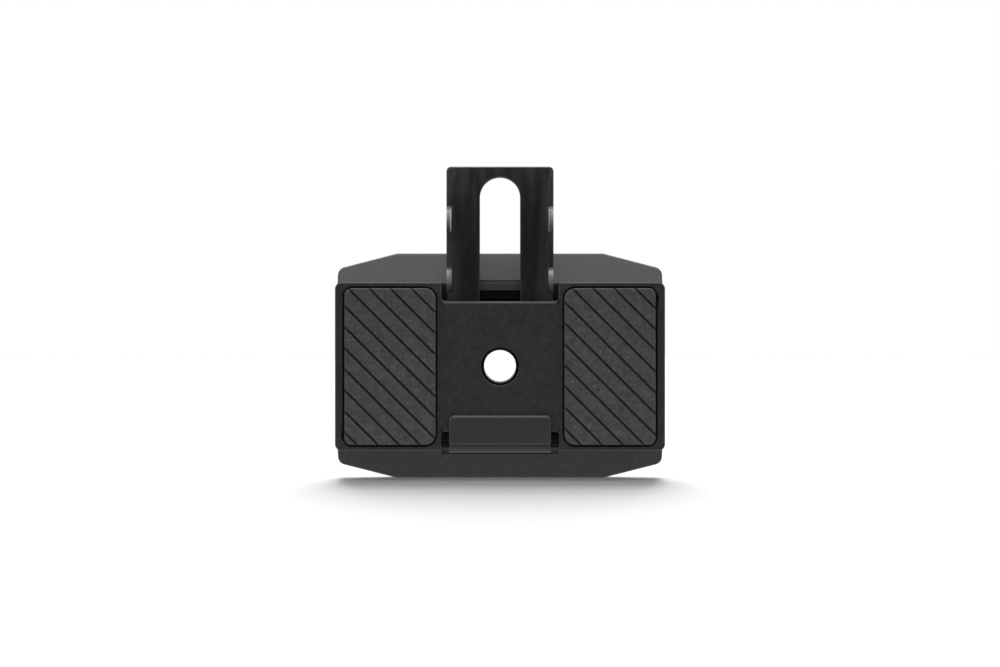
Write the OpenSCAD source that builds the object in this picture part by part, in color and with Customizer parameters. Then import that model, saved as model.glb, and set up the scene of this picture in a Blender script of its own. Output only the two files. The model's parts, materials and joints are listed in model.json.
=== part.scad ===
// Clamp block with a sliding slotted tongue.
// The block stands with its front face towards -Y and its flat rear face on the plane y = 0.
// The origin is the centre of the bolt bore on the rear face. +X is to the right, +Z is up.
// A depth in this file is counted from the front plate's face towards the rear.

/* [Body] */
// Width of the front plate and of the housing
body_w = 85; // [82:0.5:90]
// Depth from the front plate's face to the rear face
body_d = 25; // [24:0.5:30]
// Height of the front plate
plate_h = 43.4; // [43:0.2:46]
// Depth of the front plate
plate_t = 11; // [11:0.5:12]
// Full height of the housing at the rear
housing_h = 59.2; // [56:0.2:64]
// Width of the straight top edge of the housing
crown_w = 54.2; // [50:0.2:60]
// How far the housing's top edge drops towards its sides
crown_drop = 4.1; // [3:0.1:6]
// Depth over which the housing flares out
flare_d = 6.1; // [5:0.1:8]
// Wall of the housing
wall = 2.4; // [2:0.1:3]
// Rear wall of the housing
rear_wall = 3; // [3:0.1:4]

/* [Bridge and windows] */
// Width of the windows cut in the upper and lower edge
window_w = 30.2; // [29.8:0.1:32]
// Height of the bridge between the two windows
bridge_h = 33.6; // [33:0.1:34]
// Thickness of the bridge
bridge_t = 5; // [5:0.1:5.2]
// Width of the bar at the back of each window
bar_w = 26; // [25:0.1:26.4]
// Height of that bar
bar_h = 2; // [1.5:0.1:2.4]
// Diameter of the hole in the bridge
rim_dia = 9.8; // [9.4:0.1:9.9]

/* [Pads] */
// Width of a pad
pad_w = 23.4; // [20:0.1:23.8]
// Height of a pad
pad_h = 40.3; // [36:0.1:40.6]
// Distance between the pads' centres
pad_spacing = 56.6; // [56:0.1:57]
// How far a pad stands out of the front plate
pad_proud = 1; // [0.5:0.1:1.2]
// Depth of the pocket that holds a pad and its tape
pocket_depth = 2; // [1.6:0.1:2]
// Gap round a pad
pad_gap = 0.4; // [0.2:0.05:0.5]
// Distance between grooves, measured square to them
groove_pitch = 3.83; // [3:0.01:6]
// Width of a groove
groove_w = 0.55; // [0.4:0.05:0.8]
// Depth of a groove
groove_depth = 1; // [0.5:0.1:1.2]

/* [Tongue] */
// Width of the tongue
tongue_w = 27.8; // [27:0.1:27.8]
// Thickness of the tongue
tongue_t = 3; // [2.6:0.1:3]
// Height of the tongue's top edge above the bore
tongue_top = 51.8; // [50:0.1:60]
// Depth of the tongue's lower edge below the bore
tongue_foot = 14; // [13:0.1:15]
// Width of the slot
slot_w = 10.4; // [10.3:0.05:10.6]
// Height of the slot's upper end above the bore
slot_top = 49; // [48:0.1:49.2]
// Distance between the notches in the tongue's edges
notch_pitch = 15.8; // [12:0.1:16]
// Length of a notch's curved ramp
notch_len = 7; // [5:0.1:8]
// Depth of a notch at its step
notch_depth = 1.2; // [0.9:0.05:1.3]
// Width of the notched band at each edge
notch_band = 1.3; // [1.2:0.1:1.4]

/* [Lever] */
// Width of the lever's tab
tab_w = 26.2; // [25:0.1:27]
// Height of the tab
tab_h = 7.55; // [7:0.05:8]
// How far the tab stands out of the front plate
tab_proud = 1.3; // [1:0.05:1.5]
// Diameter of the lever's pin
pin_dia = 1.6; // [1.4:0.1:1.7]
// Diameter of the barrel that turns on the pin, below the tab
barrel_dia = 3.7; // [3.2:0.1:3.8]

/* [Bolt and fixings] */
// Bore of the sleeve, which clears an M8 bolt
bore_dia = 8.4; // [8.4:0.1:8.8]
// Outside diameter of the sleeve
sleeve_dia = 10; // [9.8:0.05:10]
// Height of a screw above and below the bore
screw_z = 14; // [13:0.5:14]
// Distance of a screw from the middle
screw_x = 30; // [28:0.5:31]

/* [Hidden] */

$fn = 64;
arc_steps = 8;
over = 1;

// Clearances
fit_gap = 0.02;
running_gap = 0.05;
end_gap = 0.2;
loose_gap = 0.4;

// Places along the depth
gap = 0.3;
tape_t = 0.2;
gasket_t = 0.4;
tongue_front = bridge_t + gap;
tongue_back = tongue_front + tongue_t;
bar_front = tongue_back + gap;
housing_front = plate_t + gasket_t;
flare_end = housing_front + flare_d;
cavity_back = body_d - rear_wall;

// Heights
rim_z = plate_h / 2;
bar_z = rim_z - bar_h;
housing_rim_z = rim_z - 0.1;
seam_inset = 1.2;
gasket_band = 1.6;

// Corner radii
plate_r = 1.7;
housing_r = 2.1;
window_r = 1.2;
tongue_r = 1.2;
pad_outer_r = 1.8;
pad_inner_r = 2.7;
tab_r = 1.3;
tab_foot_r = 0.4;

// Groove that sets the pattern's place on each pad, along the pad's width
tape_inset = 0.6;
left_groove_at = -1.53;
right_groove_at = -0.51;

// Lever and its pin
pin_z = -20.4;
pin_depth = 3.1;
pin_len = 36.4;
barrel_r = barrel_dia / 2;
barrel_len = 26.2;
tab_low = -20;
tab_clear = 0.15;
arm_in = 8.6;
arm_out = 12.2;
arm_t = 0.8;
arm_top = -9;
pin_bevel = 0.3;

// Leaf spring behind the bridge
leaf_t = 0.5;
leaf_front = 3.6;
leaf_back = leaf_front + leaf_t;
leg_in = 8.8;
leg_out = 13.7;
leg_low = -11;
web_low = 9.8;
web_high = 14.6;
leg_room_front = 2.2;
nose_in = 12.8;
nose_step = -6.1;
nose_len = 1.6;
nose_gap = 0.35;
nose_fall = 0.45;
small_screw_x = 10.4;
small_screw_z = 12.2;
small_screw_r = 1;
small_screw_tip = 1.4;
small_key = 1.3;
small_head_r = 1.8;
small_head_t = 0.7;

// Bowed spring behind the tongue
bow_t = 0.4;
bow_in = 6;
bow_out = 11.5;
bow_seat = 7;
bow_reach = 17;
bow_foot = 1.5;
bow_touch_gap = 0.1;

// Sleeve, screws, inserts and dowels
flange_r = 7.4;
flange_t = 1.6;
rim_step = 0.6;
barrel_step = 1.2;
boss_r = 8;
insert_r = 2.3;
insert_len = 5;
waist_half = 0.4;
waist_depth = 0.3;
screw_r = 1.5;
head_r = 2.75;
head_t = 3;
head_room_r = 3.1;
head_room_t = 3.4;
post_r = 4;
screw_key = 2.5;
key_depth = 1.7;
rib_half = 0.8;
dowel_r = 1.5;
dowel_wall = 1.8;
dowel_x = 36;
dowel_len = 9.6;
dowel_front = 6.2;

// Guide strips
strip_t = 0.8;
strip_gap = 0.15;
channel_half = tongue_w / 2 + strip_gap + strip_t;
rail_half = 12.6;

// Place on the Y axis of a depth counted from the front face
function at(depth) = depth - body_d;

// Arc that rounds one corner of an outline
function corner_arc(before, corner, after, r) =
    let (a = (before - corner) / norm(before - corner),
         b = (after - corner) / norm(after - corner),
         half_angle = acos(a * b) / 2,
         centre = corner + (a + b) / norm(a + b) * r / sin(half_angle),
         start = corner + a * r / tan(half_angle) - centre,
         finish = corner + b * r / tan(half_angle) - centre,
         from = atan2(start.y, start.x),
         turn = atan2(finish.y, finish.x) - from,
         sweep = turn > 180 ? turn - 360 : turn < -180 ? turn + 360 : turn)
    r == 0 ? [corner]
           : [for (i = [0:arc_steps]) centre + r * [cos(from + sweep * i / arc_steps),
                                                    sin(from + sweep * i / arc_steps)]];

// Outline with each corner rounded by its own radius
function rounded(points, radii) =
    let (n = len(points))
    [for (i = [0:n - 1]) each corner_arc(points[(i + n - 1) % n], points[i],
                                         points[(i + 1) % n], radii[i])];

// Corners of a box outline, anticlockwise from the lower left
function box_points(x0, z0, x1, z1) = [[x0, z0], [x1, z0], [x1, z1], [x0, z1]];

// Housing outline, with each of its edges drawn in by an inset
function housing_points(inset) =
    let (slope = atan(2 * crown_drop / (body_w - crown_w)),
         w = body_w / 2 - inset,
         h = housing_h / 2 - inset,
         c = crown_w / 2 - inset * tan(slope / 2),
         side = housing_h / 2 - crown_drop - inset * (1 / cos(slope) - tan(slope)))
    [[-c, -h], [c, -h], [w, -side], [w, side], [c, h], [-c, h], [-w, side], [-w, -side]];

// Extrudes an outline drawn in X and Z from one depth to another
module slab(from, to) {
    translate([0, at(to), 0]) rotate([90, 0, 0]) linear_extrude(height = to - from) children();
}

// Extrudes a profile drawn in depth and Z along X
module across(x0, x1) {
    translate([x0, at(0), 0]) rotate([90, 0, 90]) linear_extrude(height = x1 - x0) children();
}

// Box given by its X, depth and Z limits
module block(x0, x1, d0, d1, z0, z1) {
    translate([x0, at(d0), z0]) cube([x1 - x0, d1 - d0, z1 - z0]);
}

// Round bar along the depth
module rod(x, z, r, from, to) {
    translate([x, at(to), z]) rotate([90, 0, 0]) cylinder(r = r, h = to - from);
}

// Round bar along X, centred
module shaft(depth, z, r, length) {
    translate([-length / 2, at(depth), z]) rotate([0, 90, 0]) cylinder(r = r, h = length);
}

// Upright pin with a chamfer at both ends
module chamfered_pin(r, length) {
    rotate_extrude()
        polygon([[0, 0], [r - pin_bevel, 0], [r, pin_bevel], [r, length - pin_bevel],
                 [r - pin_bevel, length], [0, length]]);
}

// Hexagon socket for a key, along the depth
module key_socket(x, z, across_flats, from, to) {
    translate([x, at(to), z]) rotate([90, 0, 0])
        cylinder(r = across_flats / sqrt(3), h = to - from, $fn = 6);
}

module both_sides() {
    children();
    mirror([1, 0, 0]) children();
}

module at_screws() {
    for (x = [-screw_x, screw_x], z = [-screw_z, screw_z]) translate([x, 0, z]) children();
}

// Outline of a pad, with its larger corners towards the middle. Side is -1 left, 1 right.
module pad_outline(side, extra) {
    w = pad_w / 2 + extra;
    h = pad_h / 2 + extra;
    left_r = (side < 0 ? pad_outer_r : pad_inner_r) + extra;
    right_r = (side < 0 ? pad_inner_r : pad_outer_r) + extra;
    translate([side * pad_spacing / 2, 0])
        polygon(rounded(box_points(-w, -h, w, h), [left_r, right_r, right_r, left_r]));
}

// Window cut in the upper edge, without the bar at its back
module window_cut() {
    high = rim_z + over;
    slab(-over, bar_front)
        polygon(rounded(box_points(-window_w / 2, bridge_h / 2, window_w / 2, high),
                        [window_r, window_r, 0, 0]));
    both_sides()
        block(bar_w / 2, window_w / 2, bar_front - over, plate_t + over,
              bridge_h / 2 + loose_gap, high);
}

// Open saddle at the back of the plate for one end of the lever's pin
module pin_saddle() {
    r = pin_dia / 2 + fit_gap;
    reach = pin_len / 2 + end_gap;
    shaft(pin_depth, pin_z, r, 2 * reach);
    both_sides()
        block(window_w / 2 - over, reach, pin_depth, plate_t + over, pin_z - r, pin_z + r);
}

module front_plate() {
    color("#2b2b2d") difference() {
        slab(0, plate_t)
            polygon(rounded(box_points(-body_w / 2, -rim_z, body_w / 2, rim_z),
                            [plate_r, plate_r, plate_r, plate_r]));
        // Pad pockets
        for (side = [-1, 1]) slab(-over, pocket_depth) pad_outline(side, pad_gap);
        // Windows above and below the bridge
        window_cut();
        mirror([0, 0, 1]) window_cut();
        // Channel for the tongue behind the bridge, and the open space behind the tongue
        block(-channel_half, channel_half, bridge_t, bar_front,
              -bridge_h / 2 - end_gap, bridge_h / 2 + end_gap);
        block(-rail_half, rail_half, bar_front - over, plate_t + over, -bar_z, bar_z);
        // Hole in the bridge
        rod(0, 0, rim_dia / 2, -over, bridge_t + over);
        // Room for the leaf spring's legs, its web and its screws
        both_sides()
            block(leg_in - loose_gap, leg_out + end_gap, leg_room_front, bridge_t + over,
                  -bridge_h / 2 - over, web_low - loose_gap);
        block(-leg_out - end_gap, leg_out + end_gap, leaf_front, bridge_t + over,
              web_low - leaf_t, web_high + loose_gap);
        both_sides()
            rod(small_screw_x, small_screw_z, small_screw_r + fit_gap,
                small_screw_tip - end_gap, bridge_t + over);
        pin_saddle();
        // Inserts and dowels
        at_screws()
            rod(0, 0, insert_r + fit_gap, plate_t - insert_len - loose_gap, plate_t + over);
        both_sides()
            rod(dowel_x, 0, dowel_r + fit_gap, dowel_front - end_gap, plate_t + over);
    }
}

// Solid form of the housing, flared from its rim, drawn in by an inset
module housing_form(inset, from, to) {
    w = body_w / 2 + over;
    flare = atan((housing_h / 2 - housing_rim_z) / flare_d);
    full = housing_h / 2 - inset;
    bend = flare_end + inset * tan(flare / 2);
    rim = full - (bend - housing_front) * tan(flare);
    intersection() {
        slab(from, to)
            polygon(rounded(housing_points(inset),
                            [0, 0, housing_r, housing_r, 0, 0, housing_r, housing_r]));
        across(-w, w)
            polygon([[housing_front - over, -rim], [housing_front, -rim], [bend, -full],
                     [body_d + over, -full], [body_d + over, full], [bend, full],
                     [housing_front, rim], [housing_front - over, rim]]);
    }
}

module rear_housing() {
    color("#29292b") difference() {
        union() {
            difference() {
                housing_form(0, housing_front, body_d);
                housing_form(wall, housing_front - over, cavity_back);
            }
            // Boss for the sleeve, posts for the screws and the dowels
            rod(0, 0, boss_r, housing_front, cavity_back + over);
            at_screws() rod(0, 0, post_r, housing_front, cavity_back + over);
            both_sides() rod(dowel_x, 0, dowel_r + dowel_wall, housing_front, cavity_back + over);
            // Stiffening ribs from the boss to the screw posts
            for (z = [-screw_z, screw_z])
                block(-screw_x, screw_x, flare_end, cavity_back + over, z - rib_half, z + rib_half);
            block(-rib_half, rib_half, flare_end, cavity_back + over, -(housing_h - wall) / 2,
                  (housing_h - wall) / 2);
            // Keepers that close the pin's saddles
            both_sides()
                block(window_w / 2 + loose_gap, pin_len / 2, pin_depth + pin_dia / 2 + running_gap,
                      cavity_back + over, pin_z - rib_half, pin_z + rib_half);
        }
        // Small step along the rim behind each bar, deeper and wider below the lever's barrel
        block(-bar_w / 2 - gap, bar_w / 2 + gap, housing_front - over, housing_front + rim_step,
              rim_z - rim_step, rim_z + rim_step);
        block(-window_w / 2, window_w / 2, housing_front - over, housing_front + barrel_step,
              -rim_z - barrel_step, -rim_z + rim_step);
        // Sleeve, with a seat for its flange
        rod(0, 0, sleeve_dia / 2 + fit_gap, housing_front - over, body_d + over);
        rod(0, 0, flange_r + running_gap, body_d - flange_t - running_gap, body_d + over);
        // Screws and dowels
        at_screws() rod(0, 0, screw_r + end_gap, housing_front - over, body_d + over);
        at_screws() rod(0, 0, head_room_r, body_d - head_room_t, body_d + over);
        both_sides()
            rod(dowel_x, 0, dowel_r + fit_gap, housing_front - over,
                dowel_front + dowel_len + end_gap);
    }
}

// One half of the gasket, which stops short of the windows
module gasket_half() {
    x0 = window_w / 2 + loose_gap;
    x1 = body_w / 2 - seam_inset;
    z1 = rim_z - seam_inset;
    keeper = rib_half + end_gap;
    slab(plate_t, housing_front) difference() {
        polygon(box_points(x0, -z1, x1, z1));
        polygon(box_points(x0 - over, -z1 + gasket_band, x1 - gasket_band, z1 - gasket_band));
        polygon(box_points(0, pin_z - keeper, pin_len / 2 + loose_gap, pin_z + keeper));
    }
}

module rear_gasket() {
    color("#101010") both_sides() gasket_half();
}

// Grooved rubber pad. The grooves fall from the upper left to the lower right.
module pad(side, groove_at) {
    run = pad_w + pad_h;
    count = ceil(run / groove_pitch / 2);
    difference() {
        slab(-pad_proud, pocket_depth - tape_t) pad_outline(side, 0);
        for (i = [-count:count])
            translate([side * pad_spacing / 2 + groove_at + i * groove_pitch * sqrt(2), 0, 0])
                rotate([0, 45, 0])
                    block(-run, run, -pad_proud - over, groove_depth - pad_proud,
                          -groove_w / 2, groove_w / 2);
    }
}

module left_pad() {
    color("#3f3e3f") pad(-1, left_groove_at);
}

module right_pad() {
    color("#3f3e3f") pad(1, right_groove_at);
}

module pad_tape(side) {
    slab(pocket_depth - tape_t, pocket_depth) pad_outline(side, -tape_inset);
}

module left_pad_tape() {
    color("#151515") pad_tape(-1);
}

module right_pad_tape() {
    color("#151515") pad_tape(1);
}

// Notch in the tongue's front edge: a step at its top and a curved ramp below it
module edge_notch(step_z) {
    half = tongue_w / 2;
    ramp_r = (notch_len * notch_len + notch_depth * notch_depth) / (2 * notch_depth);
    difference() {
        block(half - notch_band, half + over, tongue_front - over, tongue_front + 2 * notch_depth,
              step_z - notch_len, step_z);
        translate([0, at(tongue_front + ramp_r), step_z - notch_len])
            rotate([0, 90, 0]) cylinder(r = ramp_r, h = tongue_w, $fn = 180);
    }
}

module slide_tongue() {
    half = tongue_w / 2;
    r = slot_w / 2;
    slot_low = -(slot_w - sleeve_dia) / 2;
    notches = [for (i = [0:3]) nose_step + end_gap + i * notch_pitch];
    color("#19191b") difference() {
        slab(tongue_front, tongue_back)
            polygon(rounded(box_points(-half, -tongue_foot, half, tongue_top),
                            [tongue_r, tongue_r, tongue_r, tongue_r]));
        rod(0, slot_low, r, tongue_front - over, tongue_back + over);
        rod(0, slot_top - r, r, tongue_front - over, tongue_back + over);
        block(-r, r, tongue_front - over, tongue_back + over, slot_low, slot_top - r);
        both_sides() for (z = notches) edge_notch(z);
    }
}

module guide_strip() {
    high = bridge_h / 2 - loose_gap;
    block(channel_half - strip_t, channel_half, bridge_t + running_gap, bar_front - running_gap,
          -high, high);
}

module left_guide_strip() {
    color("#d8d6cf") mirror([1, 0, 0]) guide_strip();
}

module right_guide_strip() {
    color("#d8d6cf") guide_strip();
}

// Bowed leaf: a seat on the sleeve's boss and four arms that reach forward to the tongue
module friction_spring() {
    tip = tongue_back + bow_touch_gap;
    seat = housing_front - bow_t;
    color("#8d8f93") {
        difference() {
            block(-bow_out, bow_out, seat, housing_front, -bow_seat, bow_seat);
            rod(0, 0, sleeve_dia / 2 + loose_gap, seat - over, housing_front + over);
        }
        both_sides() for (s = [0, 1]) mirror([0, 0, s]) across(bow_in, bow_out)
            polygon([[seat, bow_seat], [tip, bow_reach - bow_foot], [tip, bow_reach],
                     [tip + bow_t, bow_reach], [tip + bow_t, bow_reach - bow_foot],
                     [housing_front, bow_seat]]);
    }
}

// Forked leaf: a web screwed to the bridge and two legs that carry the noses
module detent_spring() {
    nose_deep = tongue_front + notch_depth - nose_gap;
    color("#9a9ca0") difference() {
        union() {
            block(-leg_out, leg_out, leaf_front, leaf_back, web_low, web_high);
            both_sides() block(leg_in, leg_out, leaf_front, leaf_back, leg_low, web_low + fit_gap);
            both_sides() across(nose_in, leg_out)
                polygon([[leaf_back - fit_gap, nose_step], [nose_deep, nose_step],
                         [nose_deep - nose_fall, nose_step - nose_len],
                         [leaf_back - fit_gap, nose_step - nose_len]]);
        }
        both_sides()
            rod(small_screw_x, small_screw_z, small_screw_r + running_gap,
                leaf_front - over, leaf_back + over);
    }
}

module detent_screws() {
    color("#b9babd") both_sides() difference() {
        union() {
            rod(small_screw_x, small_screw_z, small_screw_r, small_screw_tip, leaf_back + fit_gap);
            rod(small_screw_x, small_screw_z, small_head_r, leaf_back, leaf_back + small_head_t);
        }
        key_socket(small_screw_x, small_screw_z, small_key, leaf_back + end_gap,
                   leaf_back + small_head_t + over);
    }
}

// Lever: the tab in front of the bridge, a barrel on the pin, and two arms behind the spring's legs
module release_lever() {
    half = tab_w / 2;
    link_half = barrel_len / 2;
    arm_back = pin_depth + barrel_r;
    color("#262628") difference() {
        union() {
            slab(-tab_proud, -tab_clear)
                polygon(rounded(box_points(-half, tab_low, half, tab_low + tab_h),
                                [tab_foot_r, tab_foot_r, tab_r, tab_r]));
            block(-link_half, link_half, -tab_clear - fit_gap, pin_depth, tab_low, pin_z + barrel_r);
            shaft(pin_depth, pin_z, barrel_r, barrel_len);
            both_sides() block(arm_in, arm_out, arm_back - arm_t, arm_back, pin_z, arm_top);
        }
        shaft(pin_depth, pin_z, pin_dia / 2 + running_gap, barrel_len + 2 * over);
    }
}

module lever_pin() {
    color("#c0c1c4") translate([-pin_len / 2, at(pin_depth), pin_z]) rotate([0, 90, 0])
        chamfered_pin(pin_dia / 2, pin_len);
}

// Flanged sleeve that takes the bolt's load from the bridge to the rear face
module spacer_sleeve() {
    front = bridge_t + running_gap;
    color("#6f7174") difference() {
        union() {
            rod(0, 0, sleeve_dia / 2, front, body_d);
            rod(0, 0, flange_r, body_d - flange_t, body_d);
        }
        rod(0, 0, bore_dia / 2, front - over, body_d + over);
    }
}

module threaded_inserts() {
    low = plate_t - insert_len;
    middle = plate_t - insert_len / 2;
    color("#b08d3c") at_screws() difference() {
        rod(0, 0, insert_r, low, plate_t);
        rod(0, 0, screw_r + fit_gap, low - over, plate_t + over);
        // Waist between the two knurled bands
        difference() {
            rod(0, 0, insert_r + over, middle - waist_half, middle + waist_half);
            rod(0, 0, insert_r - waist_depth, low, plate_t);
        }
    }
}

module housing_screws() {
    seat = body_d - head_room_t;
    color("#1d1d1f") at_screws() difference() {
        union() {
            rod(0, 0, screw_r, plate_t - insert_len + loose_gap, seat + fit_gap);
            rod(0, 0, head_r, seat, seat + head_t);
        }
        key_socket(0, 0, screw_key, seat + head_t - key_depth, seat + head_t + over);
    }
}

module locating_dowels() {
    color("#c0c1c4") both_sides() translate([dowel_x, at(dowel_front), 0]) rotate([-90, 0, 0])
        chamfered_pin(dowel_r, dowel_len);
}

front_plate();
rear_housing();
rear_gasket();
left_pad();
right_pad();
left_pad_tape();
right_pad_tape();
slide_tongue();
left_guide_strip();
right_guide_strip();
friction_spring();
detent_spring();
detent_screws();
release_lever();
lever_pin();
spacer_sleeve();
threaded_inserts();
housing_screws();
locating_dowels();
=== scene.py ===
"""Looks of a clamp block with a sliding slotted tongue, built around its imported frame."""

import json
import math

import bmesh
import bpy
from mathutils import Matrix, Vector


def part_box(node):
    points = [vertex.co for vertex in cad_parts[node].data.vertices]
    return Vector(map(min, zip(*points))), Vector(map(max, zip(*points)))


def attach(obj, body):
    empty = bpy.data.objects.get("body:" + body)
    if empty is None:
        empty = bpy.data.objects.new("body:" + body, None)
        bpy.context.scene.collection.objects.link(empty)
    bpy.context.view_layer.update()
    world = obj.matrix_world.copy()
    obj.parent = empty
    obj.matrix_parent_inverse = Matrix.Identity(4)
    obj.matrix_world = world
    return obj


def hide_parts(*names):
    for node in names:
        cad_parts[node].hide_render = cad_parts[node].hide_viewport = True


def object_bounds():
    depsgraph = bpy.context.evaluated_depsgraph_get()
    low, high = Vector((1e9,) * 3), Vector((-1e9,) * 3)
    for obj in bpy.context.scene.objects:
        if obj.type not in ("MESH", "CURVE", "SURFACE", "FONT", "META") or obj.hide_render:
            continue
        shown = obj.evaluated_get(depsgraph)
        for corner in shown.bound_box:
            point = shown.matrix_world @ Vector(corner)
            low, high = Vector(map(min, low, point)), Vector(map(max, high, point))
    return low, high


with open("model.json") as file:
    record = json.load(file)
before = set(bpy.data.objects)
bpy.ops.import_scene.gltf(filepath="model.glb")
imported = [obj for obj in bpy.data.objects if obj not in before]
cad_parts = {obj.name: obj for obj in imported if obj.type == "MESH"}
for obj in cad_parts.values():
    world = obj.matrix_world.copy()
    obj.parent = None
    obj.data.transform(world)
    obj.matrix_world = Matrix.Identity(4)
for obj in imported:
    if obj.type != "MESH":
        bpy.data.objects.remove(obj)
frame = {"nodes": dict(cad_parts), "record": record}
cad_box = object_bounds()

bl_info = {
    "name": "Clamp block with sliding tongue",
    "version": (1, 0, 0),
    "blender": (4, 5, 0),
    "location": "View3D > Sidebar > Clamp block",
    "description": "Models the mouldings, pads, tongue, lever, springs and fixings of a clamp block",
    "category": "Object",
}

MM = 0.001

# Points nearer than this are one point, points this near a face's plane lie on it, and an edge
# that runs less than this along an axis is square to it
MERGE_DISTANCE = 0.002 * MM
ON_FACE = 0.01 * MM
SQUARE_WITHIN = 0.001 * MM

# Faces that meet flatter than the first angle become one, and sharper than the second are rounded
FLAT_ANGLE = math.radians(0.5)
SHARP_ANGLE = math.radians(24)

# Steps across a rounded edge and round a turned shank
ROUNDING_STEPS = 4
TURNING_STEPS = 32

# Rounding of edges that are hidden inside the block
INNER_ROUNDING = 0.1 * MM

# Names of the mesh attributes that the finishes read, the second of them marking faces painted
# lighter as painted light, and the start of the finishes' own names
EDGE_MASK = "edge"
PAINTED_LIGHT_MASK = "pale"
FINISH_PREFIX = "finish_"

# Middle stretch of a noise, where nearly all of its values lie
NOISE_SPAN = (0.3, 0.7)

# Radii of the round fixings, and the sizes of each kind of screw
INSERT_RADIUS = 2.3 * MM
DOWEL_RADIUS = 1.5 * MM
CAP_SCREW = {"head_radius": 2.75 * MM, "head_height": 3.0 * MM, "shank_radius": 1.5 * MM,
             "threaded": 8.0 * MM, "pitch": 0.5 * MM}
LEAF_SCREW = {"head_radius": 1.8 * MM, "head_height": 0.7 * MM, "shank_radius": 1.0 * MM,
              "threaded": 1.6 * MM, "pitch": 0.4 * MM}

# Depth of a thread in pitches, and how far a threaded shank reaches into the head above it
THREAD_DEPTH = 0.6
SEAT_LAP = 0.02 * MM


# ---------------------------------------------------------------- sizes and colours

class BlockSizes(bpy.types.PropertyGroup):
    """Rounding of the pieces' edges and the camera that looks at the block"""

    rim_rounding: bpy.props.FloatProperty(
        name="Rim rounding", description="Rounding of the front plate's outer rim",
        default=0.4 * MM, unit="LENGTH")
    lip_rounding: bpy.props.FloatProperty(
        name="Lip rounding", description="Rounding of the bridge's upper and lower lip",
        default=0.7 * MM, unit="LENGTH")
    housing_rounding: bpy.props.FloatProperty(
        name="Housing rounding", description="Rounding of the housing's rear rim",
        default=0.8 * MM, unit="LENGTH")
    pad_rounding: bpy.props.FloatProperty(
        name="Pad rounding", description="Rounding of a pad's outer edge",
        default=0.35 * MM, unit="LENGTH")
    tongue_rounding: bpy.props.FloatProperty(
        name="Tongue rounding", description="Rounding of the tongue's outer edges",
        default=0.35 * MM, unit="LENGTH")
    tab_rounding: bpy.props.FloatProperty(
        name="Tab rounding", description="Rounding of the lever tab's top and sides",
        default=0.9 * MM, unit="LENGTH")
    eye_distance: bpy.props.FloatProperty(
        name="Eye distance", description="Distance from the rear face to the camera",
        default=0.75, unit="LENGTH")
    eye_height: bpy.props.FloatProperty(
        name="Eye height", description="Height of the camera above the bore",
        default=8.5 * MM, unit="LENGTH")
    lens: bpy.props.FloatProperty(
        name="Lens", description="Focal length of the camera in millimetres",
        default=101.4, unit="CAMERA")


class BlockColours(bpy.types.PropertyGroup):
    """Base colours of the block's finishes"""

    moulded: bpy.props.FloatVectorProperty(
        name="Moulded plastic", description="Front plate and housing", subtype="COLOR",
        default=(0.0122, 0.0119, 0.0121))
    lever: bpy.props.FloatVectorProperty(
        name="Lever plastic", description="Release lever", subtype="COLOR",
        default=(0.0155, 0.0155, 0.0155))
    coating: bpy.props.FloatVectorProperty(
        name="Gloss coating", description="Coated tongue", subtype="COLOR",
        default=(0.008, 0.0076, 0.0084))
    # Painted highlight: colour of the notch floors, which stands in for the light they reflect
    notch_highlight: bpy.props.FloatVectorProperty(
        name="Painted notch highlight", description="Notch floors, painted light as their highlight", subtype="COLOR",
        default=(0.42, 0.41, 0.415))
    rubber: bpy.props.FloatVectorProperty(
        name="Pad rubber", description="Grooved pads", subtype="COLOR",
        default=(0.0315, 0.0292, 0.0296))
    gasket: bpy.props.FloatVectorProperty(
        name="Gasket rubber", description="Gasket in the joint", subtype="COLOR",
        default=(0.012, 0.012, 0.012))
    film: bpy.props.FloatVectorProperty(
        name="Adhesive film", description="Film under the pads", subtype="COLOR",
        default=(0.02, 0.02, 0.02))
    guide: bpy.props.FloatVectorProperty(
        name="Guide plastic", description="Strips that the tongue runs on", subtype="COLOR",
        default=(0.70, 0.69, 0.65))
    spring: bpy.props.FloatVectorProperty(
        name="Spring steel", description="Leaf springs", subtype="COLOR",
        default=(0.50, 0.50, 0.52))
    plating: bpy.props.FloatVectorProperty(
        name="Zinc plating", description="Dowels and small screws", subtype="COLOR",
        default=(0.60, 0.60, 0.61))
    oxide: bpy.props.FloatVectorProperty(
        name="Black oxide", description="Sleeve, pin and cap screws", subtype="COLOR",
        default=(0.014, 0.014, 0.015))
    brass: bpy.props.FloatVectorProperty(
        name="Brass", description="Threaded inserts", subtype="COLOR",
        default=(0.60, 0.45, 0.18))


def sizes():
    return bpy.context.scene.clamp_block_sizes


def colours():
    return bpy.context.scene.clamp_block_colours


# ---------------------------------------------------------------- shader nodes

def place(tree, kind, inputs=None, **settings):
    """Adds a node, sets it up, and gives each named input a value or a link."""
    made = tree.nodes.new(kind)
    for name, value in settings.items():
        setattr(made, name, value)
    for key, value in (inputs or {}).items():
        if isinstance(value, bpy.types.NodeSocket):
            tree.links.new(value, made.inputs[key])
        else:
            made.inputs[key].default_value = value
    return made


def math_node(tree, operation, *values):
    """Output of a Math node."""
    made = place(tree, "ShaderNodeMath", dict(enumerate(values)), operation=operation)
    return made.outputs[0]


def mix_colour(tree, factor, first, second):
    """Colour between two others."""
    made = place(tree, "ShaderNodeMix", {0: factor, 6: first, 7: second}, data_type="RGBA")
    return made.outputs[2]


def remap(tree, value, span, onto=(0.0, 1.0)):
    """Value moved from one span to another, and kept inside it."""
    made = place(tree, "ShaderNodeMapRange", dict(enumerate((value, *span, *onto))))
    return made.outputs[0]


def own_place(tree):
    """Place on the piece, in metres."""
    return place(tree, "ShaderNodeTexCoord").outputs["Object"]


def along_axes(tree, where):
    """X, Y and Z of a place or direction."""
    return place(tree, "ShaderNodeSeparateXYZ", {0: where}).outputs


def painted(tree, mask):
    """Value of one of the masks that the operators leave on a piece."""
    return place(tree, "ShaderNodeAttribute", attribute_name=mask).outputs["Fac"]


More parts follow.
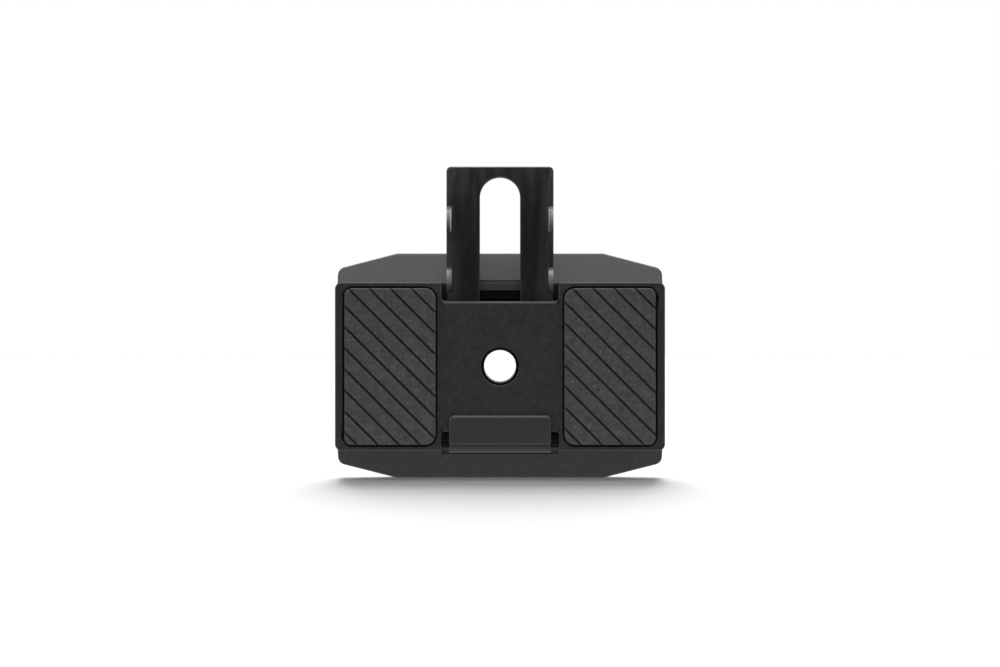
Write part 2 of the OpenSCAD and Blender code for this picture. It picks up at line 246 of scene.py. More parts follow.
def new_group(name, inputs, outputs):
    """Shader node group with its sockets and its two end nodes."""
    tree = bpy.data.node_groups.new(name, "ShaderNodeTree")
    for label, value in inputs.items():
        socket = tree.interface.new_socket(label, in_out="INPUT", socket_type="NodeSocketFloat")
        socket.default_value = value
    for label in outputs:
        tree.interface.new_socket(label, in_out="OUTPUT", socket_type="NodeSocketFloat")
    return tree, tree.nodes.new("NodeGroupInput"), tree.nodes.new("NodeGroupOutput")


def noise(tree, scale, detail=2.0, roughness=0.5, vector=None):
    """Noise in the piece's own place, with a scale per metre."""
    made = place(tree, "ShaderNodeTexNoise",
                 {"Vector": vector or own_place(tree), "Scale": scale,
                  "Detail": detail, "Roughness": roughness})
    return made.outputs[0]


def grain_group():
    """Fine grain and broad mottle, each from 0 to 1."""
    tree, given, out = new_group("surface_grain", {"Grain scale": 5000.0, "Mottle scale": 180.0},
                                 ("Grain", "Mottle"))
    fine = noise(tree, given.outputs["Grain scale"], detail=3.0, roughness=0.6)
    coarse_scale = math_node(tree, "MULTIPLY", given.outputs["Grain scale"], 0.27)
    coarse = noise(tree, coarse_scale)
    both = math_node(tree, "ADD", math_node(tree, "MULTIPLY", fine, 0.65),
                     math_node(tree, "MULTIPLY", coarse, 0.35))
    broad = noise(tree, given.outputs["Mottle scale"], detail=4.0, roughness=0.55)
    tree.links.new(both, out.inputs["Grain"])
    tree.links.new(remap(tree, broad, NOISE_SPAN), out.inputs["Mottle"])
    return tree


def wear_group():
    """Mask of the rubbed stretches along rounded edges."""
    tree, given, out = new_group("edge_wear", {"Wear": 0.5, "Patch scale": 600.0}, ("Mask",))
    patch = noise(tree, given.outputs["Patch scale"], detail=4.0, roughness=0.6)
    shown = remap(tree, patch, (0.35, 0.7), (0.35, 1.0))
    rubbed = math_node(tree, "MULTIPLY", painted(tree, EDGE_MASK), shown)
    tree.links.new(math_node(tree, "MULTIPLY", rubbed, given.outputs["Wear"]), out.inputs["Mask"])
    return tree


def speck_group():
    """Mask of small dust specks, in a share of the cells of a random grid."""
    tree, given, out = new_group("dust_specks",
                                 {"Cell scale": 900.0, "Share": 0.06, "Radius": 0.10}, ("Mask",))
    cells = place(tree, "ShaderNodeTexVoronoi",
                  {"Vector": own_place(tree), "Scale": given.outputs["Cell scale"]})
    spread = place(tree, "ShaderNodeSeparateColor", {0: cells.outputs["Color"]})
    chosen = math_node(tree, "LESS_THAN", spread.outputs[0], given.outputs["Share"])
    radius = math_node(tree, "MULTIPLY", given.outputs["Radius"],
                       math_node(tree, "ADD", spread.outputs[1], 0.3))
    inside = math_node(tree, "LESS_THAN", cells.outputs["Distance"], radius)
    tree.links.new(math_node(tree, "MULTIPLY", chosen, inside), out.inputs["Mask"])
    return tree


def brushed_group():
    """Fine lines along X, from 0 to 1, as rolling leaves them."""
    tree, given, out = new_group("rolling_lines", {"Line scale": 9000.0}, ("Lines",))
    drawn = place(tree, "ShaderNodeMapping",
                  {"Vector": own_place(tree), "Scale": (0.03, 1.0, 1.0)})
    lines = noise(tree, given.outputs["Line scale"], roughness=0.6, vector=drawn.outputs[0])
    tree.links.new(lines, out.inputs["Lines"])
    return tree


GROUPS = {"surface_grain": grain_group, "edge_wear": wear_group, "dust_specks": speck_group,
          "rolling_lines": brushed_group}


def group(tree, name, **inputs):
    """Places one of the shared node groups."""
    made = tree.nodes.new("ShaderNodeGroup")
    made.node_tree = bpy.data.node_groups.get(name) or GROUPS[name]()
    for label, value in inputs.items():
        made.inputs[label.replace("_", " ")].default_value = value
    return made


def bump(tree, height, depth):
    """Normal of a relief of a given depth in metres."""
    return place(tree, "ShaderNodeBump", {"Height": height, "Distance": depth}).outputs[0]


def new_material(name):
    """Material with an empty node tree, its Principled BSDF and its output."""
    material = bpy.data.materials.new(FINISH_PREFIX + name)
    material.use_nodes = True
    tree = material.node_tree
    tree.nodes.clear()
    shader = tree.nodes.new("ShaderNodeBsdfPrincipled")
    out = tree.nodes.new("ShaderNodeOutputMaterial")
    tree.links.new(shader.outputs[0], out.inputs["Surface"])
    return material, tree, shader


def wire(tree, shader, **inputs):
    """Gives the shader's inputs their values and links, with _ for each space."""
    for label, value in inputs.items():
        socket = shader.inputs[label.replace("_", " ")]
        if isinstance(value, bpy.types.NodeSocket):
            tree.links.new(value, socket)
        else:
            socket.default_value = value


def tinted(colour, gain):
    """A colour made lighter or darker, with its alpha."""
    return (*(channel * gain for channel in colour), 1.0)


# ---------------------------------------------------------------- finishes

def moulded_black():
    """Satin black moulded plastic with a fine grain, light specks, rubbed edges and painted light on
    the recessed bars.
    """
    material, tree, shader = new_material("moulded_black")
    base = colours().moulded
    grain = group(tree, "surface_grain", Grain_scale=2600.0, Mottle_scale=110.0)
    wear = group(tree, "edge_wear", Wear=0.7, Patch_scale=500.0)
    specks = group(tree, "dust_specks", Cell_scale=620.0, Share=0.09, Radius=0.12)
    cloudy = mix_colour(tree, grain.outputs["Mottle"], tinted(base, 0.74), tinted(base, 1.16))
    body = mix_colour(tree, remap(tree, grain.outputs["Grain"], (0.40, 0.66)),
                      cloudy, tinted(base, 2.3))
    rubbed = mix_colour(tree, wear.outputs["Mask"], body, tinted(base, 2.6))
    dusty = mix_colour(tree, specks.outputs["Mask"], rubbed, tinted(base, 4.5))
    # Painted light: the marked bar fronts are painted four times lighter than the plastic
    wire(tree, shader,
         Base_Color=mix_colour(tree, painted(tree, PAINTED_LIGHT_MASK), dusty, tinted(base, 4.0)),
         Roughness=remap(tree, grain.outputs["Grain"], NOISE_SPAN, (0.40, 0.52)),
         Specular_IOR_Level=0.35,
         Normal=bump(tree, grain.outputs["Grain"], 0.012 * MM))
    return material


def lever_black():
    """The lever's smoother black plastic."""
    material, tree, shader = new_material("lever_black")
    base = colours().lever
    grain = group(tree, "surface_grain", Grain_scale=6500.0, Mottle_scale=200.0)
    wear = group(tree, "edge_wear", Wear=0.5, Patch_scale=700.0)
    body = mix_colour(tree, grain.outputs["Mottle"], tinted(base, 0.85), tinted(base, 1.15))
    wire(tree, shader,
         Base_Color=mix_colour(tree, wear.outputs["Mask"], body, tinted(base, 2.0)),
         Roughness=remap(tree, grain.outputs["Grain"], NOISE_SPAN, (0.38, 0.48)),
         Normal=bump(tree, grain.outputs["Grain"], 0.008 * MM))
    return material


def gloss_black():
    """Gloss black coating with streaks, a painted reflection that lightens it towards its outer
    edges and its top, and a painted highlight on the notch floors.
    """
    material, tree, shader = new_material("gloss_black")
    base = colours().coating
    skin = group(tree, "surface_grain", Grain_scale=1400.0, Mottle_scale=90.0)
    wear = group(tree, "edge_wear", Wear=0.5, Patch_scale=400.0)
    where = own_place(tree)
    drawn = place(tree, "ShaderNodeMapping", {"Vector": where, "Scale": (1.0, 1.0, 0.16)})
    drift = noise(tree, 420.0, detail=4.0, roughness=0.6, vector=drawn.outputs[0])
    streaks = remap(tree, drift, (0.35, 0.65))
    from_middle = math_node(tree, "ABSOLUTE", along_axes(tree, where)["X"])
    # Painted reflection: the coating is painted up to four times lighter towards its outer edges and
    # its top, broken up by the streaks
    outer = remap(tree, from_middle, (9.5 * MM, 13.5 * MM), (0.0, 0.6))
    upper = remap(tree, along_axes(tree, where)["Z"], (40.0 * MM, 52.0 * MM), (0.0, 0.5))
    reflection_band = math_node(tree, "ADD", outer, upper)
    streaked_reflection = math_node(tree, "MULTIPLY", reflection_band, math_node(tree, "ADD", streaks, 0.35))
    body = mix_colour(tree, streaked_reflection, tinted(base, 0.7), tinted(base, 4.2))
    worn = mix_colour(tree, wear.outputs["Mask"], body, tinted(base, 3.0))
    # Painted highlight: the marked notch floors are painted light grey, more strongly where they are
    # deeper
    wire(tree, shader,
         Base_Color=mix_colour(tree, painted(tree, PAINTED_LIGHT_MASK), worn, tinted(colours().notch_highlight, 1.0)),
         Roughness=remap(tree, streaks, (0.0, 1.0), (0.20, 0.36)),
         Coat_Weight=0.4, Coat_Roughness=0.12,
         Normal=bump(tree, skin.outputs["Grain"], 0.004 * MM))
    return material


def pad_rubber():
    """Matt dark grey rubber with a cloudy, slightly pitted skin and caught lint."""
    material, tree, shader = new_material("pad_rubber")
    base = colours().rubber
    skin = group(tree, "surface_grain", Grain_scale=2300.0, Mottle_scale=260.0)
    wear = group(tree, "edge_wear", Wear=0.8, Patch_scale=900.0)
    lint = group(tree, "dust_specks", Cell_scale=700.0, Share=0.12, Radius=0.13)
    cloudy = mix_colour(tree, skin.outputs["Mottle"], tinted(base, 0.6), tinted(base, 1.05))
    grainy = mix_colour(tree, remap(tree, skin.outputs["Grain"], (0.38, 0.66)),
                        cloudy, tinted(base, 2.3))
    drawn = place(tree, "ShaderNodeMapping",
                  {"Vector": own_place(tree), "Rotation": (0, math.radians(20), 0),
                   "Scale": (0.35, 1.0, 1.6)})
    scrapes = noise(tree, 950.0, detail=5.0, roughness=0.65, vector=drawn.outputs[0])
    scuffs = remap(tree, scrapes, (0.58, 0.74))
    scuffed = mix_colour(tree, scuffs, grainy, tinted(base, 2.9))
    rubbed = mix_colour(tree, wear.outputs["Mask"], scuffed, tinted(base, 2.0))
    wire(tree, shader,
         Base_Color=mix_colour(tree, lint.outputs["Mask"], rubbed, tinted(base, 4.5)),
         Roughness=remap(tree, skin.outputs["Grain"], NOISE_SPAN, (0.62, 0.8)),
         Specular_IOR_Level=0.4,
         Normal=bump(tree, skin.outputs["Grain"], 0.05 * MM))
    return material


def plain_skin(name, colour, roughness, relief, grain_scale):
    """Matt skin of a thin hidden piece, with its own grain and mottle."""
    material, tree, shader = new_material(name)
    grain = group(tree, "surface_grain", Grain_scale=grain_scale, Mottle_scale=300.0)
    wire(tree, shader,
         Base_Color=mix_colour(tree, grain.outputs["Mottle"], tinted(colour, 0.85),
                               tinted(colour, 1.12)),
         Roughness=remap(tree, grain.outputs["Grain"], NOISE_SPAN,
                         (roughness - 0.06, roughness + 0.06)),
         Normal=bump(tree, grain.outputs["Grain"], relief))
    return material


def gasket_rubber():
    """Matt black sheet rubber."""
    return plain_skin("gasket_rubber", colours().gasket, roughness=0.8, relief=0.02 * MM,
                      grain_scale=4000.0)


def adhesive_film():
    """Dark film with a slight sheen."""
    return plain_skin("adhesive_film", colours().film, roughness=0.45, relief=0.006 * MM,
                      grain_scale=2500.0)


def guide_plastic():
    """Waxy off-white bearing plastic."""
    return plain_skin("guide_plastic", colours().guide, roughness=0.35, relief=0.004 * MM,
                      grain_scale=3000.0)


def metal(name, colour, roughness, line_depth, wear_gain):
    """Metal with fine working lines, a little tarnish and brighter edges."""
    material, tree, shader = new_material(name)
    lines = group(tree, "rolling_lines", Line_scale=9000.0)
    tarnish = group(tree, "surface_grain", Grain_scale=3000.0, Mottle_scale=350.0)
    wear = group(tree, "edge_wear", Wear=0.8, Patch_scale=900.0)
    body = mix_colour(tree, tarnish.outputs["Mottle"], tinted(colour, 0.82), tinted(colour, 1.08))
    wire(tree, shader,
         Base_Color=mix_colour(tree, wear.outputs["Mask"], body, tinted(colour, wear_gain)),
         Metallic=1.0,
         Roughness=remap(tree, lines.outputs["Lines"], NOISE_SPAN,
                         (roughness - 0.07, roughness + 0.09)),
         Normal=bump(tree, lines.outputs["Lines"], line_depth))
    return material


def spring_steel():
    """Bright rolled strip."""
    return metal("spring_steel", colours().spring, roughness=0.27, line_depth=0.003 * MM,
                 wear_gain=1.3)


def plated_steel():
    """Zinc plate."""
    return metal("plated_steel", colours().plating, roughness=0.32, line_depth=0.002 * MM,
                 wear_gain=1.15)


def blackened_steel():
    """Oiled black oxide, worn through to grey on its edges."""
    return metal("blackened_steel", colours().oxide, roughness=0.36, line_depth=0.003 * MM,
                 wear_gain=4.0)


def insert_brass():
    """Turned brass."""
    return metal("insert_brass", colours().brass, roughness=0.30, line_depth=0.003 * MM,
                 wear_gain=1.25)


FINISHES = {"moulded_black": moulded_black, "lever_black": lever_black,
            "gloss_black": gloss_black, "pad_rubber": pad_rubber,
            "gasket_rubber": gasket_rubber, "adhesive_film": adhesive_film,
            "guide_plastic": guide_plastic, "spring_steel": spring_steel,
            "plated_steel": plated_steel, "blackened_steel": blackened_steel,
            "insert_brass": insert_brass}


def finish_material(slot):
    """The finish of a material slot, made once."""
    return bpy.data.materials.get(FINISH_PREFIX + slot) or FINISHES[slot]()


# ---------------------------------------------------------------- mesh helpers

def slot_of(node):
    """Material slot that the record gives a CAD node."""
    return next(part["material_slot"] for part in frame["record"]["subparts"]
                if part["node"] == node)


def body_of(node):
    """Body that a CAD node rides on."""
    return next(body for body, nodes in frame["record"]["behaviour"]["bodies"].items()
                if node in nodes)


def add_piece(name, node, mesh):
    """Makes a mesh the visible piece of a CAD node, with that node's body and finish."""
    piece = bpy.data.objects.new(name, mesh)
    bpy.context.scene.collection.objects.link(piece)
    mesh.materials.clear()
    mesh.materials.append(finish_material(slot_of(node)))
    mesh.shade_smooth()
    normals = piece.modifiers.new("flat_faces", "WEIGHTED_NORMAL")
    normals.keep_sharp = True
    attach(piece, body_of(node))
    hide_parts(node)
    return piece


def merged_copy(node, **holes):
    """Copy of a CAD node's mesh, with its loose triangles merged into whole faces.

    Holes are the places along x, y or z where a plane cuts through the middle of a hole, so that
    no flat face has a hole inside it."""
    bm = bmesh.new()
    bm.from_mesh(frame["nodes"][node].data)
    bmesh.ops.remove_doubles(bm, verts=bm.verts, dist=MERGE_DISTANCE)
    for axis, places in holes.items():
        normal = Vector([axis == letter for letter in "xyz"])
        for place_on_axis in places:
            everything = bm.verts[:] + bm.edges[:] + bm.faces[:]
            cut = bmesh.ops.bisect_plane(bm, geom=everything, dist=MERGE_DISTANCE,
                                         plane_co=normal * place_on_axis, plane_no=normal)
            for part in cut["geom_cut"]:
                if isinstance(part, bmesh.types.BMEdge):
                    part.seam = True
    bmesh.ops.dissolve_limit(bm, angle_limit=FLAT_ANGLE, verts=bm.verts, edges=bm.edges,
                             delimit={"SEAM"})
    return bm


def sharp_edges(bm):
    """Edges where two faces meet at an outer corner."""
    return [edge for edge in bm.edges
            if edge.is_manifold and edge.is_convex and edge.calc_face_angle() > SHARP_ANGLE]


def middle(edge):
    """Middle of an edge."""
    return (edge.verts[0].co + edge.verts[1].co) / 2


def run_of(edge):
    """Vector from one end of an edge to the other."""
    return edge.verts[1].co - edge.verts[0].co


def evenly(width):
    """Rule that rounds every edge by the same width."""
    return lambda edge: width


def rounded(bm, width_at, name):
    """Mesh with its outer corners rounded, each by the width that a rule gives for its edge.

    The bevel puts the rounded strips in the mesh's second material slot, from which they are
    marked in a face attribute that the finishes read as wear."""
    weight = bm.edges.layers.float.new("bevel_weight_edge")
    wanted = {edge: width_at(edge) for edge in sharp_edges(bm)}
    widest = max(wanted.values())
    for edge, width in wanted.items():
        edge[weight] = width / widest
    mesh = bpy.data.meshes.new(name)
    bm.to_mesh(mesh)
    bm.free()
    mesh.materials.append(None)
    mesh.materials.append(None)
    draft = bpy.data.objects.new(name, mesh)
    bpy.context.scene.collection.objects.link(draft)
    bevel = draft.modifiers.new("rounding", "BEVEL")
    bevel.limit_method = "WEIGHT"
    bevel.width = widest
    bevel.segments = ROUNDING_STEPS
    bevel.profile = 0.5
    bevel.use_clamp_overlap = False
    bevel.loop_slide = False
    bevel.material = 1
    graph = bpy.context.evaluated_depsgraph_get()
    finished = bpy.data.meshes.new_from_object(draft.evaluated_get(graph))
    bpy.data.objects.remove(draft)
    mask = finished.attributes.new(EDGE_MASK, "FLOAT", "FACE")
    for face in finished.polygons:
        mask.data[face.index].value = face.material_index
        face.material_index = 0
    return finished


def moulding(name, node, width_at, **holes):
    """Visible piece made from a CAD node's merged copy, with rounded edges."""
    return add_piece(name, node, rounded(merged_copy(node, **holes), width_at, name))


def turned(bm, outline, at):
    """Adds a solid turned about an axis along Y, from its outline as radii and places on Y."""
    verts = [bm.verts.new((at.x + radius, place_on_y, at.z)) for radius, place_on_y in outline]
    edges = [bm.edges.new(ends) for ends in zip(verts, verts[1:])]
    bmesh.ops.spin(bm, geom=verts + edges, cent=(at.x, 0, at.z), axis=(0, 1, 0),
                   angle=math.tau, steps=TURNING_STEPS, use_merge=True)


def thread_shanks(piece, node, screw, places):
    """Swaps the plain shanks of a node's screws for shanks with the rings of a rolled thread."""
    low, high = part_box(node)
    tip = low.y
    seat = high.y - screw["head_height"]
    mesh = bpy.data.objects[piece].data
    bm = bmesh.new()
    bm.from_mesh(mesh)
    everything = bm.verts[:] + bm.edges[:] + bm.faces[:]
    cut = bmesh.ops.bisect_plane(bm, geom=everything, plane_co=(0, seat - SEAT_LAP, 0),
                                 plane_no=(0, 1, 0), clear_inner=True)
    rims = [part for part in cut["geom_cut"] if isinstance(part, bmesh.types.BMEdge)]
    bmesh.ops.holes_fill(bm, edges=rims)
    crest, pitch = screw["shank_radius"], screw["pitch"]
    root = crest - THREAD_DEPTH * pitch
    outline = [(0, tip), (root, tip)]
    for turn in range(int(screw["threaded"] / pitch)):
        outline += [(crest, tip + (turn + 0.5) * pitch), (root, tip + (turn + 1) * pitch)]
    outline += [(crest, outline[-1][1] + 0.5 * pitch), (crest, seat), (0, seat)]
    for at in places:
        turned(bm, outline, at)
    bmesh.ops.remove_doubles(bm, verts=bm.verts, dist=0.5 * MERGE_DISTANCE)
    bmesh.ops.recalc_face_normals(bm, faces=bm.faces)
    bm.to_mesh(mesh)
    bm.free()
    mesh.shade_smooth()


def pair(value):
    """A place and its mirror image."""
    return (-value, value)


def middle_of(node):
    """Middle of a CAD node's box."""
    low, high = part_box(node)
    return (low + high) / 2


def end_centre(node, radius):
    """Middle of a round solid that reaches a node's highest corner in X and Z."""
    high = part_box(node)[1]
    return Vector((high.x - radius, high.y, high.z - radius))


# ---------------------------------------------------------------- operators

class CLAMPBLOCK_OT_stage(bpy.types.Operator):
    """Adds the camera, the pale floor and the soft light"""

    bl_idname = "clampblock.stage"
    bl_label = "Stage"

    floor_reach = 4.0

    # Colour and glow of the floor for the camera, and for the light that the block gets from it,
    # where the glow fades with the distance from the block
    seen_floor = (0.5, 0.5, 0.5, 1.0)
    seen_glow = 0.12
    unseen_floor = (0.05, 0.05, 0.05, 1.0)
    unseen_glow = (0.85, 0.08)
    glow_reach = (0.06, 0.30)

    # Strength, spread and tilt about X and Y in degrees, of the suns that light the block
    block_suns = {"overhead": (2.8, 60, (-6, 0)),
                  "left_side": (1.1, 40, (10, -68)),
                  "right_side": (1.1, 40, (10, 68))}

    # Tilt about X in degrees, and share of the floor's light, of the suns that cast the shadow
    floor_suns = ((-26, 1.2), (-45, 1.2), (-61, 1.2), (-74, 1.2), (34, 0.3))
    floor_sun_spread = 26

    box_energy = 0.20
    box_size = (0.24, 0.07)
    box_place = (0, -0.20, 0.17)

    def execute(self, context):
        self.add_camera(context)
        self.add_floor(context)
        self.add_suns(context)
        self.add_front_box(context)
        self.light_world(context)
        context.scene.view_settings.view_transform = "Standard"
        return {"FINISHED"}

    def add_camera(self, context):
        data = bpy.data.cameras.new("camera")
        data.lens = sizes().lens
        camera = bpy.data.objects.new("camera", data)
        camera.location = (0, -sizes().eye_distance, sizes().eye_height)
        camera.rotation_euler = (math.radians(90), 0, 0)
        context.scene.collection.objects.link(camera)
        context.scene.camera = camera

    def add_floor(self, context):
        bm = bmesh.new()
        bmesh.ops.create_grid(bm, x_segments=1, y_segments=1, size=self.floor_reach)
        bmesh.ops.translate(bm, verts=bm.verts, vec=(0, 0, cad_box[0][2]))
        mesh = bpy.data.meshes.new("floor")
        bm.to_mesh(mesh)
        bm.free()
        floor = bpy.data.objects.new("floor", mesh)
        context.scene.collection.objects.link(floor)
        mesh.materials.append(self.pale_floor())

    def pale_floor(self):
        """Matt floor that looks white from the camera and sends little light up."""
        material, tree, shader = new_material("pale_floor")
        seen = place(tree, "ShaderNodeLightPath").outputs["Is Camera Ray"]
        away = place(tree, "ShaderNodeVectorMath", {0: own_place(tree)},
                     operation="LENGTH").outputs["Value"]
        glow = remap(tree, away, self.glow_reach, self.unseen_glow)
        unseen = math_node(tree, "SUBTRACT", 1.0, seen)
        wire(tree, shader, Roughness=0.9, Specular_IOR_Level=0.0,
             Base_Color=mix_colour(tree, seen, self.unseen_floor, self.seen_floor),
             Emission_Color=(1, 1, 1, 1),
             Emission_Strength=math_node(tree, "ADD", math_node(tree, "MULTIPLY", glow, unseen),
                                         math_node(tree, "MULTIPLY", seen, self.seen_glow)))
        return material

    def add_suns(self, context):
        for name, (strength, spread, tilt) in self.block_suns.items():
            self.add_sun(context, name, strength, spread, tilt, lights_floor=False)
        for tilt, share in self.floor_suns:
            self.add_sun(context, f"shadow_maker{tilt}", share / math.cos(math.radians(tilt)),
                         self.floor_sun_spread, (tilt, 0), lights_floor=True)

    def add_sun(self, context, name, strength, spread, tilt, lights_floor):
        """Soft sun that lights the floor alone, or everything but the floor."""
        data = bpy.data.lights.new(name, "SUN")
        data.energy = strength
        data.angle = math.radians(spread)
        lamp = bpy.data.objects.new(name, data)
        lamp.rotation_euler = (math.radians(tilt[0]), math.radians(tilt[1]), 0)
        context.scene.collection.objects.link(lamp)
        self.link_light(lamp, lights_floor)

    def add_front_box(self, context):
        """Soft box above and in front of the block, turned towards the bore."""
        data = bpy.data.lights.new("front_box", "AREA")
        data.energy = self.box_energy
        data.shape = "RECTANGLE"
        data.size, data.size_y = self.box_size
        box = bpy.data.objects.new("front_box", data)
        box.location = self.box_place
        box.visible_camera = False
        box.rotation_euler = (-box.location).to_track_quat("-Z", "Y").to_euler()
        context.scene.collection.objects.link(box)
        self.link_light(box, lights_floor=False)

    def link_light(self, lamp, lights_floor):
        """Keeps a lamp's light on the floor alone, or off the floor."""
        lit = bpy.data.collections.new(f"{lamp.name}_lit")
        lit.objects.link(bpy.data.objects["floor"])
        lit.collection_objects[0].light_linking.link_state = (
            "INCLUDE" if lights_floor else "EXCLUDE")
        lamp.light_linking.receiver_collection = lit

    def light_world(self, context):
        """Even light that grows with height and behind the block, and is white to the camera."""
        world = bpy.data.worlds.new("studio")
        context.scene.world = world
        world.use_nodes = True
        tree = world.node_tree
        tree.nodes.clear()
        direction = along_axes(tree, place(tree, "ShaderNodeTexCoord").outputs["Generated"])
        above = remap(tree, direction["Z"], (0.0, 0.9), (0.06, 0.40))
        behind = remap(tree, direction["Y"], (0.5, 0.95), (0.0, 0.9))
        dim = math_node(tree, "ADD", above, behind)
        seen = place(tree, "ShaderNodeLightPath").outputs["Is Camera Ray"]
        level = place(tree, "ShaderNodeMix", {0: seen, 2: dim, 3: 1.0}).outputs[0]
        light = place(tree, "ShaderNodeBackground",
                      {"Color": (1, 1, 1, 1), "Strength": level})
        out = tree.nodes.new("ShaderNodeOutputWorld")
        tree.links.new(light.outputs[0], out.inputs["Surface"])


class CLAMPBLOCK_OT_front_plate(bpy.types.Operator):
    """Adds the front plate with its pad pockets, windows and bridge"""

    bl_idname = "clampblock.front_plate"
    bl_label = "Front plate"

    # Half width of the stretch between the pads, and how near an edge lies to the bore's axis or
    # to the plate's outline when it belongs to the bore's mouth or to the rim
    window_half = 15.4 * MM
    mouth_reach = 6.0 * MM
    rim_width = 2.2 * MM
    rim_height = 0.5 * MM

    # Share of an edge's length that runs along X when the edge is a lip of the bridge
    lip_run = 0.3

    mouth_rounding = 0.25 * MM
    side_rounding = 0.3 * MM
    pocket_rounding = 0.2 * MM

    # Height above the bore and depth behind the front, past which a window shows its bar
    bar_low = 15.0 * MM
    bar_depth = 6.0 * MM

    def execute(self, context):
        low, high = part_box("front_plate")

        def width_at(edge):
            spot = middle(edge)
            in_front = spot.y < low.y + ON_FACE
            if in_front and abs(spot.x) < self.window_half:
                if spot.xz.length < self.mouth_reach:
                    return self.mouth_rounding
                is_lip = abs(run_of(edge).normalized().x) > self.lip_run
                return sizes().lip_rounding if is_lip else self.side_rounding
            on_rim = (abs(spot.x) > high.x - self.rim_width
                      or abs(spot.z) > high.z - self.rim_height)
            if in_front and on_rim:
                return sizes().rim_rounding
            on_seam = on_rim and spot.y > high.y - ON_FACE
            return self.pocket_rounding if in_front or on_seam else INNER_ROUNDING

        pad_x = middle_of("right_pad").x
        dowel_x = end_centre("locating_dowels", DOWEL_RADIUS).x
        insert = end_centre("threaded_inserts", INSERT_RADIUS)
        small_screw = end_centre("detent_screws", LEAF_SCREW["head_radius"])
        piece = moulding("front_moulding", "front_plate", width_at,
                         x=(0, *pair(pad_x), *pair(insert.x), *pair(small_screw.x),
                            *pair(dowel_x)),
                         z=(0, *pair(insert.z), small_screw.z))
        self.mark_painted_bar_light(piece.data, low.y)
        return {"FINISHED"}

    def mark_painted_bar_light(self, mesh, front):
        """Marks the front of the recessed bar at the back of each window, which the finish paints
        lighter as painted light.
        """
        mask = mesh.attributes.new(PAINTED_LIGHT_MASK, "FLOAT", "FACE")
        for face in mesh.polygons:
            spot = face.center
            in_window = abs(spot.x) < self.window_half and abs(spot.z) > self.bar_low
            faces_front = face.normal.y < -0.5
            if in_window and faces_front and spot.y > front + self.bar_depth:
                mask.data[face.index].value = 1.0


class CLAMPBLOCK_OT_rear_housing(bpy.types.Operator):
    """Adds the flared housing behind the front plate"""

    bl_idname = "clampblock.rear_housing"
    bl_label = "Rear housing"

    # How far the side walls, the flares and the rim round the front plate reach inwards
    wall_reach = 2.5 * MM
    flare_reach = 6.6 * MM
    rim_reach = 8.6 * MM

    hole_rounding = 0.3 * MM
    flare_rounding = 0.5 * MM
    rim_rounding = 0.25 * MM

    def execute(self, context):
        low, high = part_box("rear_housing")

        def width_at(edge):
            spot = middle(edge)
            on_wall = abs(spot.x) > high.x - self.wall_reach
            outer = on_wall or abs(spot.z) > high.z - self.flare_reach
            if spot.y > high.y - ON_FACE:
                return sizes().housing_rounding if outer else self.hole_rounding
            if outer and spot.y > low.y + ON_FACE:
                return self.flare_rounding
            if on_wall or abs(spot.z) > high.z - self.rim_reach:
                return self.rim_rounding
            return INNER_ROUNDING

        screw = end_centre("housing_screws", CAP_SCREW["head_radius"])
        dowel = end_centre("locating_dowels", DOWEL_RADIUS)
        moulding("housing_moulding", "rear_housing", width_at,
                 x=(0, *pair(screw.x), *pair(dowel.x)), z=(0, *pair(screw.z)))
        return {"FINISHED"}


class CLAMPBLOCK_OT_pads(bpy.types.Operator):
    """Adds the two grooved rubber pads"""

    bl_idname = "clampblock.pads"
    bl_label = "Pads"

    # How near to a pad's outline its rim lies, and how far a groove's slant is from 45 degrees
    rim_reach = 0.3 * MM
    slant_slack = 0.02

    groove_rounding = 0.13 * MM

    def execute(self, context):
        for side in ("left", "right"):
            node = f"{side}_pad"
            low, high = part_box(node)

            def width_at(edge):
                spot = middle(edge)
                run = run_of(edge)
                in_plane = abs(run.y) < SQUARE_WITHIN
                slanted = abs(abs(run.x) - abs(run.z)) < self.slant_slack * run.length
                on_rim = (min(spot.x - low.x, high.x - spot.x) < self.rim_reach
                          or min(spot.z - low.z, high.z - spot.z) < self.rim_reach)
                if slanted and in_plane and not on_rim:
                    return self.groove_rounding
                if spot.y < low.y + ON_FACE:
                    return sizes().pad_rounding
                return INNER_ROUNDING

            moulding(f"{side}_pad_rubber", node, width_at)
        return {"FINISHED"}


